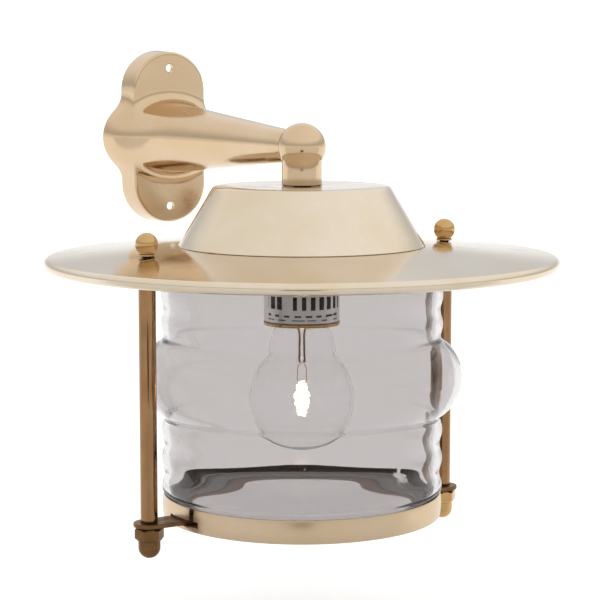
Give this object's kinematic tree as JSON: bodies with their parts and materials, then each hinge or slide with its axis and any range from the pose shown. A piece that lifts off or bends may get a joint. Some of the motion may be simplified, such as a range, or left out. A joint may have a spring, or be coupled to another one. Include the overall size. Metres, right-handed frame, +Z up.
{
  "type": "ship lantern",
  "caption": "Wall lantern with a cast arm, a cone cap on a wide brim, and a ribbed glass jar held below by rods and a slotted ring around a screw-in lamp.",
  "frame": {"origin": "centre of the plate's back plane, on the wall, level with the arm's axis", "axes": "+Z up, +Y into the wall, so the lantern stands out towards -Y; +X to the right as a viewer faces the wall"},
  "size_m": [0.3, 0.341, 0.2874],
  "materials": {
    "polished_brass": "polished, lightly handled spun sheet",
    "cast_brass": "buffed casting",
    "warm_brass": "polished turned brass, a little warmer and darker",
    "bright_steel": "satin",
    "clear_glass": "clear, thick pressed glass",
    "lamp_glass": "clear, thin blown glass",
    "porcelain": "white unglazed porcelain",
    "black_rubber": "matt",
    "clear_silicone": "translucent silicone",
    "lamp_metal": "bright drawn metal"
  },
  "bodies": {
    "head": {"wall_bracket": "cast_brass", "ball_elbow": "cast_brass", "arm_nipple": "warm_brass", "stem_nipple": "warm_brass", "cap": "polished_brass", "brim": "polished_brass", "earth_tag": "warm_brass", "cap_nut": "warm_brass", "lampholder_shell": "warm_brass", "lampholder_skirt": "bright_steel", "lampholder_lip": "warm_brass", "lampholder_core": "porcelain", "lampholder_thread": "warm_brass", "lampholder_contact": "warm_brass", "terminal_block": "porcelain", "inner_lead": "black_rubber", "rim_gasket": "black_rubber"},
    "cage": {"glass_jar": "clear_glass", "bottom_ring": "polished_brass", "foot_gasket": "clear_silicone", "tongue_left": "warm_brass", "tongue_right": "warm_brass", "rivet_left": "warm_brass", "rivet_right": "warm_brass", "rod_left": "warm_brass", "rod_right": "warm_brass"},
    "bulb_drop": {"bulb_contact": "lamp_metal"},
    "bulb": {"bulb_insulator": "porcelain", "bulb_cap": "warm_brass", "bulb_envelope": "lamp_glass", "bulb_stem": "lamp_glass", "bulb_filament": "lamp_metal"},
    "left_knob_lift": {"knob_washer_left": "warm_brass"},
    "left_knob": {"ball_knob_left": "warm_brass"},
    "left_nut_drop": {"nut_washer_left": "warm_brass"},
    "left_nut": {"acorn_nut_left": "warm_brass"},
    "right_knob_lift": {"knob_washer_right": "warm_brass"},
    "right_knob": {"ball_knob_right": "warm_brass"},
    "right_nut_drop": {"nut_washer_right": "warm_brass"},
    "right_nut": {"acorn_nut_right": "warm_brass"}
  },
  "joints": [
    {"name": "cage_drop", "type": "slide", "parent": "head", "child": "cage", "axis": [0, 0, -1], "range_m": [0, 0.16]},
    {"name": "bulb_lower", "type": "slide", "parent": "head", "child": "bulb_drop", "axis": [0, 0, -1], "range_m": [0, 0.0182]},
    {"name": "bulb_turn", "type": "hinge", "parent": "bulb_drop", "child": "bulb", "pos_m": [0, -0.191, -0.1478], "axis": [0, 0, -1], "range_deg": [0, 1800]},
    {"name": "left_knob_rise", "type": "slide", "parent": "head", "child": "left_knob_lift", "axis": [0, 0, 1], "range_m": [0, 0.0081]},
    {"name": "left_knob_turn", "type": "hinge", "parent": "left_knob_lift", "child": "left_knob", "pos_m": [-0.1, -0.191, -0.052], "axis": [0, 0, 1], "range_deg": [0, 2880]},
    {"name": "left_nut_lower", "type": "slide", "parent": "cage", "child": "left_nut_drop", "axis": [0, 0, -1], "range_m": [0, 0.0081]},
    {"name": "left_nut_turn", "type": "hinge", "parent": "left_nut_drop", "child": "left_nut", "pos_m": [-0.1, -0.191, -0.2175], "axis": [0, 0, -1], "range_deg": [0, 2880]},
    {"name": "right_knob_rise", "type": "slide", "parent": "head", "child": "right_knob_lift", "axis": [0, 0, 1], "range_m": [0, 0.0081]},
    {"name": "right_knob_turn", "type": "hinge", "parent": "right_knob_lift", "child": "right_knob", "pos_m": [0.1, -0.191, -0.052], "axis": [0, 0, 1], "range_deg": [0, 2880]},
    {"name": "right_nut_lower", "type": "slide", "parent": "cage", "child": "right_nut_drop", "axis": [0, 0, -1], "range_m": [0, 0.0081]},
    {"name": "right_nut_turn", "type": "hinge", "parent": "right_nut_drop", "child": "right_nut", "pos_m": [0.1, -0.191, -0.2175], "axis": [0, 0, -1], "range_deg": [0, 2880]}
  ],
  "couplings": [
    {"joint": "bulb_lower", "follows": "bulb_turn", "m_per_rad": 0.00057757},
    {"joint": "left_knob_rise", "follows": "left_knob_turn", "m_per_rad": 0.00015915},
    {"joint": "left_nut_lower", "follows": "left_nut_turn", "m_per_rad": 0.00015915},
    {"joint": "right_knob_rise", "follows": "right_knob_turn", "m_per_rad": 0.00015915},
    {"joint": "right_nut_lower", "follows": "right_nut_turn", "m_per_rad": 0.00015915}
  ]
}
